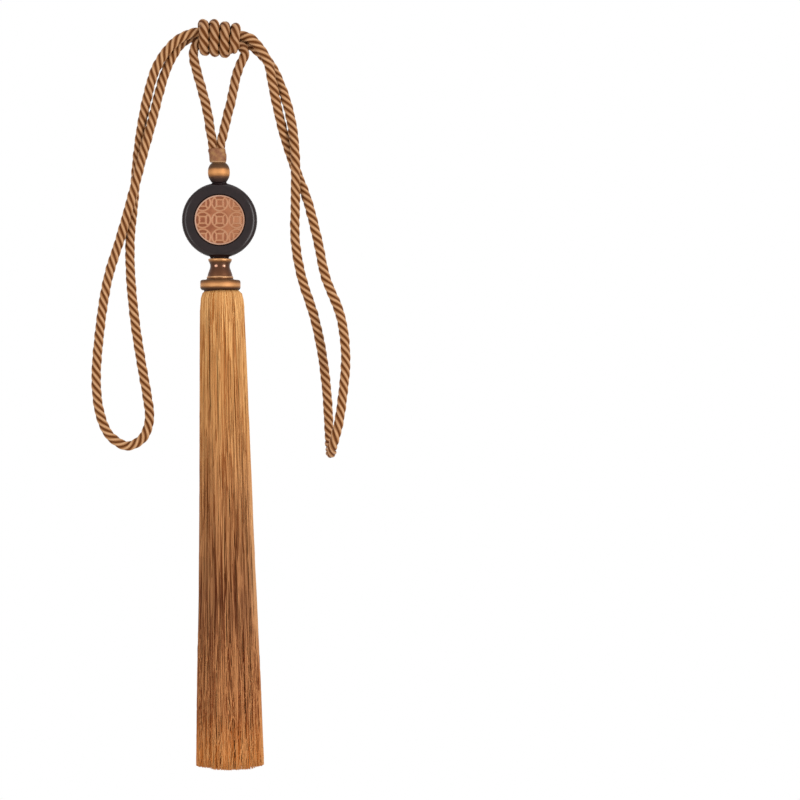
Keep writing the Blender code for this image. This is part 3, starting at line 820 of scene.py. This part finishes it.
def makeCollar(c):
    profile = [(0, c["top"])]
    for part, cuts in (("flange", 4), ("neck", 4), ("lip", 3), ("foot", 3)):
        outline = faired(c[part], c["top"], -c["length"], cuts)
        profile += outline[:-1]           # a part ends where the next one starts
    bm = spun(profile + [outline[-1], (0, outline[-1][1])], 112)
    radii, shares = zip(*c["neck"])
    seat = np.interp(c["studShare"], shares, radii) * mm
    for degrees in c["studs"]:
        turned = math.radians(degrees - 90)
        made = bmesh.ops.create_uvsphere(bm, u_segments=20, v_segments=12,
                                         radius=c["studRadius"])["verts"]
        bmesh.ops.scale(bm, vec=(c["studProud"] / c["studRadius"] * 2, 1, 1), verts=made)
        bmesh.ops.translate(bm, vec=(seat, 0, 0), verts=made)
        bmesh.ops.rotate(bm, cent=(0, 0, 0), matrix=Matrix.Rotation(turned, 3, "Z"), verts=made)
        bmesh.ops.translate(bm, vec=(0, 0, c["top"] - c["studShare"] * c["length"]), verts=made)
        for face in {f for v in made for f in v.link_faces}:
            face.material_index = 1
    bmesh.ops.translate(bm, verts=bm.verts, vec=(c["x"], 0, 0))
    place("turnedCollar", meshFrom(bm), antiqueFinish(c), "collar", "antique_copper",
          studFinish())


makeCollar(collar)
print("strung pieces made")


# skirt

skirt = {
    "foot": -634.6 * mm,
    "turnIn": 13.4,           # the threads start inside the ring's neck
    # millimetres below the skirt's visible head, then x shift, half width, half depth
    "rows": [(0.0, 2.0, 15.6, 15.6), (0.8, 2.1, 16.7, 16.8), (5, 2.0, 17.9, 18.1),
             (10.5, 2.1, 18.5, 18.7), (17, 2.2, 18.7, 19), (60, 3.0, 19.7, 19.8),
             (120, 4.2, 21.0, 20.8), (190, 5.5, 22.6, 22), (260, 6.8, 24.5, 23.3),
             (330, 7.8, 26.8, 24.8), (375, 8.4, 27.9, 25.6), (403, 8.9, 28.6, 26.2)],
    "head": -231.5 * mm,
    # pieces, the depth where their threads start, and their layers: how far out each lies, as a
    # share of the radius, and how many threads it has; the heart is seen only at the foot
    "layers": [("skirtOuter", -2.1, [(0.985, 230), (0.955, 230)]),
               ("skirtMiddle", -2.1, [(0.915, 230), (0.865, 220)]),
               ("skirtInner", -2.1, [(0.80, 200), (0.72, 180)]),
               ("skirtHeart", 330, [(0.60, 110), (0.46, 80), (0.31, 50), (0.15, 24)])],
    "thread": 0.34 * mm,      # half thickness
    "thinToThick": (0.75, 1.15),
    "heights": (0, 1.1, 5, 13, 36, 80, 130, 180, 235, 290, 345, 385, 403),
    "free": (20, 380),        # between these a thread's heights are shifted, by so much
    "stagger": 12,
    "unevenGap": 0.35,        # how unevenly threads stand side by side
    "astray": 0.018,          # how far a thread strays in angle and in depth between two heights
    "rise": 0.018,
    "openBy": 50,             # tight together at the head, and loose from here down
    "headOpen": 0.04,
    "fanEnd": 420,            # the foot fans out evenly: clumps fade towards here, over so much
    "fanFor": 60,
    "fanLeast": 0.3,
    # waves that gather threads: how many, fewest and most of them round the skirt, their lengths
    "locks": (6, 15, 34, (150, 700)),
    "clumps": (8, 40, 110, (70, 400)),
    "lockDepth": 0.0035,
    "clumpDepth": 0.0045,
    "lockTurn": 0.3,
    "clumpTurn": 0.25,
    # painted light: how much lighter a thread is where its clump stands out, and darker where it
    # sinks
    "clumpLight": 0.09,
    "toneSpread": 0.17,
    # lengths where threads come up to the surface and dive again: how many, from what depth,
    # shortest and longest, and how far off upright they lie, as a slope
    "loose": [(700, 3, (40, 150), 0.014), (500, 3, (14, 50), 0.035),
              (420, 290, (14, 44), 0.16), (420, 330, (7, 22), 0.14)],
    "looseOut": 1.004,        # share of the radius at their middle, less up to so much
    "looseUneven": 0.012,
    "looseDive": 0.05,        # and how far in their ends lie
    "looseTop": 0.3,          # they stay so far below the head, and so far above the foot
    "looseFoot": 2.5,
    "leanRadius": 22,         # turns millimetres round the skirt into an angle
    "uneven": 1.2,            # how much the cut ends differ
    "coreHeights": (0.6, 5, 12, 30, 90, 150, 210, 270, 330, 375),
    # the core's share of the skirt's size above its fourth height, and below
    "coreSize": (0.86, 0.72),
    # how much shorter it is cut at places across, from its left side to its right
    "sideRise": ((-1, -0.75, -0.45, 0.6, 0.8, 1), (0.9, 1.2, 0, 0, 1.2, 1.1)),
    "sharp": 100,
    # colours of its lightest and darkest threads, from the head down, with painted light: golden
    # at the head, browner lower down, and lighter again near the foot
    "light": [(0.0, "#daab70"), (0.2, "#c29059"), (0.42, "#b88353"), (0.65, "#a67148"),
              (0.88, "#b0784a"), (1.0, "#b9834f")],
    "dark": [(0.0, "#9a5e28"), (0.2, "#965a2a"), (0.42, "#743e18"), (0.65, "#4e2006"),
             (0.88, "#6a300c"), (0.97, "#a65e26")],
    # painted light: darker on its left side, lighter on its right
    "sideLight": [(0.0, "#a2a2a2"), (0.2, "#b8b8b8"), (0.5, "#bebebe"), (0.88, "#c0c0c0"),
                  (1.0, "#dadada")],
    # how far down its right edge the painted highlight reaches
    "edgeHighlightReach": [(0.3, "#000000"), (0.45, "#b0b0b0"), (0.65, "#b0b0b0"), (0.8, "#000000")],
    # painted light in streaks as wide as a thread or a clump, highlights and thin shadows that
    # fade
    # in and out along the threads: width and length in millimetres, share
    "streaks": ((0.9, 58, 1.8), (2.6, 110, 1.2)),
    "streakRadius": 21,       # the skirt's, for those widths
}


def ripples(shape, count, lows, highs, lengths):
    # a soft pattern of ridges round the skirt that wanders along its length
    turned, depth = shape
    total = np.zeros(turned.shape)
    slope = np.zeros(turned.shape)
    for k in range(count):
        around = chance.integers(lows, highs)
        along = fullTurn / chance.uniform(*lengths) * chance.choice((-1, 1))
        phase = around * turned + along * depth + chance.uniform(0, fullTurn)
        total += np.sin(phase) / around
        slope -= np.cos(phase)
    return total, slope


def threadMesh(name, turned, size, depth, tones, finish, s):
    # threads of four sides, one per row; each has its places in angle, share of radius and depth
    many, stations = depth.shape
    shift, width, deep = shapeAt(np.clip(depth, 0, None), s["rows"])
    width, deep = (np.where(depth < 0, s["turnIn"], each) for each in (width, deep))
    centre = np.stack([shift + np.cos(turned) * width * size, np.sin(turned) * deep * size,
                       s["head"] / mm - depth], axis=2) * mm
    along = np.gradient(centre, axis=1)
    along /= np.linalg.norm(along, axis=2)[:, :, None]
    over = np.stack([-np.sin(turned), np.cos(turned), np.zeros_like(turned)], axis=2)
    outer = np.cross(over, along)
    outer /= np.linalg.norm(outer, axis=2)[:, :, None]
    thick = s["thread"] * chance.uniform(*s["thinToThick"], many)[:, None, None]
    verts = np.stack([centre + outer * thick, centre + over * thick,
                      centre - outer * thick, centre - over * thick], axis=2).reshape(-1, 3)
    faces = []
    for start in range(0, many * stations * 4, stations * 4):
        for j in range(stations - 1):
            for m in range(4):
                a, b = start + j * 4 + m, start + j * 4 + (m + 1) % 4
                faces.append((a, b, b + 4, a + 4))
        faces.append((start + 3, start + 2, start + 1, start))
        last = start + (stations - 1) * 4
        faces.append((last, last + 1, last + 2, last + 3))
    mesh = bpy.data.meshes.new("threads")
    mesh.from_pydata(verts.tolist(), [], faces)
    tone = mesh.attributes.new("threadToneAndLight", "FLOAT", "POINT")
    tone.data.foreach_set("value", np.repeat(np.clip(tones, 0, 1), stations * 4))
    # how far round the skirt, how far out and how far down, so that streaks follow the threads
    lie = mesh.attributes.new("threadLie", "FLOAT_VECTOR", "POINT")
    lies = np.stack([turned, size, depth * mm], axis=2)
    lie.data.foreach_set("vector", np.repeat(lies, 4, axis=1).ravel())
    bm = bmesh.new()
    bm.from_mesh(mesh)
    place(name, shaded(mesh, bm, s["sharp"]), finish, "skirt", "skirt_thread")


def footAt(turned, s):                    # where a thread is cut
    return (s["head"] - s["foot"]) / mm - np.interp(np.cos(turned), *s["sideRise"])


def longThreads(name, start, layers, s, finish):
    heights = np.array([start] + [h for h in s["heights"] if h > start + 1], float)
    gap = s["unevenGap"]
    turned = np.concatenate([chance.uniform(0, 6.3) + fullTurn
                             * (np.arange(count) + chance.uniform(-gap, gap, count)) / count
                             for share, count in layers])
    layer = np.repeat(*zip(*layers))
    many, stations = len(turned), len(heights)
    depth = np.tile(heights, (many, 1))
    free = (depth > s["free"][0]) & (depth < s["free"][1])
    depth += free * chance.uniform(-s["stagger"], s["stagger"], depth.shape)
    loose = np.clip(depth / s["openBy"], s["headOpen"], 1)
    turned = np.tile(turned[:, None], (1, stations))
    locks, lockRise = ripples((turned, depth), *s["locks"])
    clumps, clumpRise = ripples((turned, depth), *s["clumps"])
    drift = np.cumsum(chance.normal(0, s["astray"] / 3, depth.shape), axis=1)
    drift += chance.normal(0, s["astray"], depth.shape)
    size = layer[:, None] + loose * (s["lockDepth"] * lockRise + s["clumpDepth"] * clumpRise
                                     + chance.normal(0, s["rise"], depth.shape))
    # painted light: lighter where a clump stands out, darker where it sinks, and at random as
    # sheen
    tones = 0.5 + s["clumpLight"] * clumpRise[:, stations // 2]
    tones += chance.normal(0, s["toneSpread"], many)
    gather = loose * np.clip((s["fanEnd"] - depth) / s["fanFor"], s["fanLeast"], 1)
    turned = turned + gather * (s["lockTurn"] * locks + s["clumpTurn"] * clumps) + loose * drift
    ends = footAt(turned[:, -1], s)
    depth[:, -1] = ends - chance.uniform(0, s["uneven"], many)
    threadMesh(name, turned, np.clip(size, 0.02, 1.0), depth, tones, finish, s)


def looseThreads(name, many, start, lengths, slope, s, finish):      # lying a little askew
    span = np.linspace(-0.5, 0.5, 6)
    length = chance.uniform(*lengths, many)
    foot = (s["head"] - s["foot"]) / mm
    middle = chance.uniform(start, foot - 2 * s["looseFoot"], many)
    depth = np.clip(middle[:, None] + span * length[:, None], s["looseTop"],
                    foot - s["looseFoot"])
    lean = chance.normal(0, slope, many)[:, None] * span * length[:, None] / s["leanRadius"]
    bow = chance.normal(0, slope / 3, many)[:, None] * (1 - 4 * span ** 2)
    turned = chance.uniform(0, fullTurn, many)[:, None] + lean + bow
    size = s["looseOut"] - s["looseDive"] * (2 * abs(span)) ** 2.5
    size = size - chance.uniform(0, s["looseUneven"], many)[:, None]
    tones = chance.uniform(-0.1, 1.1, many)
    threadMesh(name, turned, size, depth, tones, finish, s)


# Silky rayon thread with painted light: golden where it is drawn tight at the head, browner
# further down, each thread a little lighter or darker than the next, in long streaks that follow
# the threads.
def skirtFinish(s):
    finish, add, shader = newFinish("silkyRayonThread", Roughness=0.42, IOR=1.5,
                                    Specular_IOR_Level=0.08, Sheen_Weight=0.02,
                                    Sheen_Roughness=0.35, Sheen_Tint=linear("#f0b070"))
    axes = objectAxes(add)[1]
    down = add("MapRange", {0: axes["Z"], "From Min": s["head"], "From Max": s["foot"]})
    level = add("Attribute", attribute_name="threadToneAndLight").outputs["Fac"]
    lie = add("Attribute", attribute_name="threadLie").outputs["Vector"]
    for wide, tall, share in s["streaks"]:
        around = s["streakRadius"] / wide
        lying = add("Mapping", {0: lie, "Scale": (around, around, 1 / (tall * mm))})
        streaks = add("TexNoise", {0: lying, "Scale": 1.0, "Detail": 1.5})
        level = strayed(add, level, streaks, share)
    # painted light: darker on the skirt's left side, lighter on its right
    turned = add("SeparateXYZ", {0: lie})
    right = add("Math", {0: turned}, operation="COSINE")
    right = add("MapRange", {0: right, "From Min": -1.0})
    sides = add("ValToRGB", {0: right}, stops=s["sideLight"])
    level = add("Clamp", {0: strayed(add, level, sides, 1.0)})
    # painted light along the height: golden at the head, browner lower down, lighter near the foot
    light = add("ValToRGB", {0: down}, stops=s["light"])
    dark = add("ValToRGB", {0: down}, stops=s["dark"])
    mixed = add("Mix", {0: level, 6: dark, 7: light}, data_type="RGBA")
    # a painted highlight down the right edge, between two heights
    edge = add("MapRange", {0: right, "From Min": 0.88})
    edgeHighlightReach = add("ValToRGB", {0: down}, stops=s["edgeHighlightReach"])
    edgeHighlight = add("Math", {0: edge, 1: edgeHighlightReach}, operation="MULTIPLY")
    mixed = add("Mix", {0: edgeHighlight, 6: mixed.outputs[2], 7: linear("#d8a878")}, data_type="RGBA")
    connect(shader, {"Base Color": mixed.outputs[2]})
    return finish


def makeSkirt(s):
    finish = skirtFinish(s)
    for each in s["layers"]:
        longThreads(*each, s, finish)
    for number, kind in enumerate(s["loose"]):
        looseThreads("skirtLoose" + str(number), *kind, s, finish)


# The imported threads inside, dark because little light reaches them.
def coreFinish():
    finish, add, shader = newFinish("packedThread", Roughness=0.7, IOR=1.5)
    where = add("TexCoord").outputs["Object"]
    # streaks of 0.8 mm, 60 mm long
    drawn = add("Mapping", {0: where, "Scale": every(0.8, 0.8, 60)})
    streaks = add("TexNoise", {0: drawn, "Scale": 1.0, "Detail": 2.0})
    shade = add("ValToRGB", {0: streaks}, stops=[(0.35, "#2e1606"), (0.65, "#6e4018")])
    connect(shader, {"Base Color": shade})
    return finish


def makeCore(s):
    depths = s["coreHeights"]
    profile = [(1, s["head"] - depth * mm) for depth in depths]
    bm = spun([(0, profile[0][1])] + profile + [(0, profile[-1][1])], 48)
    for vert in bm.verts:
        depth = (s["head"] - vert.co.z) / mm
        shift, width, deep = shapeAt(depth, s["rows"])
        tight = s["coreSize"][0 if depth < depths[3] else 1]
        vert.co.x = (shift + vert.co.x * width * tight) * mm
        vert.co.y = vert.co.y * deep * tight * mm
    place("skirtCore", meshFrom(bm, 80), coreFinish(), "skirt", "skirt_thread")


makeSkirt(skirt)
makeCore(skirt)
print("skirt made")


# light, air and floor

studio = {
    "air": 1.0,               # white all round, as on a product picture
    "aim": Vector((0, 0, -0.3)),
    "floorZ": -1.6,
    "floorRadius": 6.0,
    # name, place, width, height, power in watts; tall boxes stand at both sides of the tassel
    "lamps": [("boxRight", (1.4, -1.5, -0.25), 0.7, 1.9, 30),
              ("boxLeft", (-1.4, -1.5, -0.25), 0.6, 1.9, 14),
              ("top", (0.3, -0.2, 1.6), 1.4, 1.4, 5), ("back", (0.0, 1.8, 0.2), 1.2, 1.2, 12)],
}


def makeStudio(s):
    scene = bpy.context.scene
    scene.view_settings.view_transform = "Standard"
    world = bpy.data.worlds.new("studio")
    scene.world = world
    world.use_nodes = True
    air = world.node_tree.nodes["Background"]
    air.inputs["Color"].default_value = (1, 1, 1, 1)
    air.inputs["Strength"].default_value = s["air"]
    for name, where, width, tall, power in s["lamps"]:
        lamp = bpy.data.lights.new(name, "AREA")
        lamp.shape = "RECTANGLE"
        lamp.size, lamp.size_y = width, tall
        lamp.energy = power
        holder = inScene(name, lamp)
        holder.location = where
        holder.rotation_euler = (s["aim"] - Vector(where)).to_track_quat("-Z", "Y").to_euler()
    bm = bmesh.new()
    bmesh.ops.create_circle(bm, cap_ends=True, segments=128, radius=s["floorRadius"])
    bmesh.ops.translate(bm, verts=bm.verts, vec=(0, 0, s["floorZ"]))
    mesh = bpy.data.meshes.new("floor")
    bm.to_mesh(mesh)
    bm.free()
    floor = inScene("floor", mesh)
    mesh.materials.append(newFinish("paleFloor", Roughness=0.8, Base_Color=linear("#e8e6e3"))[0])


makeStudio(studio)
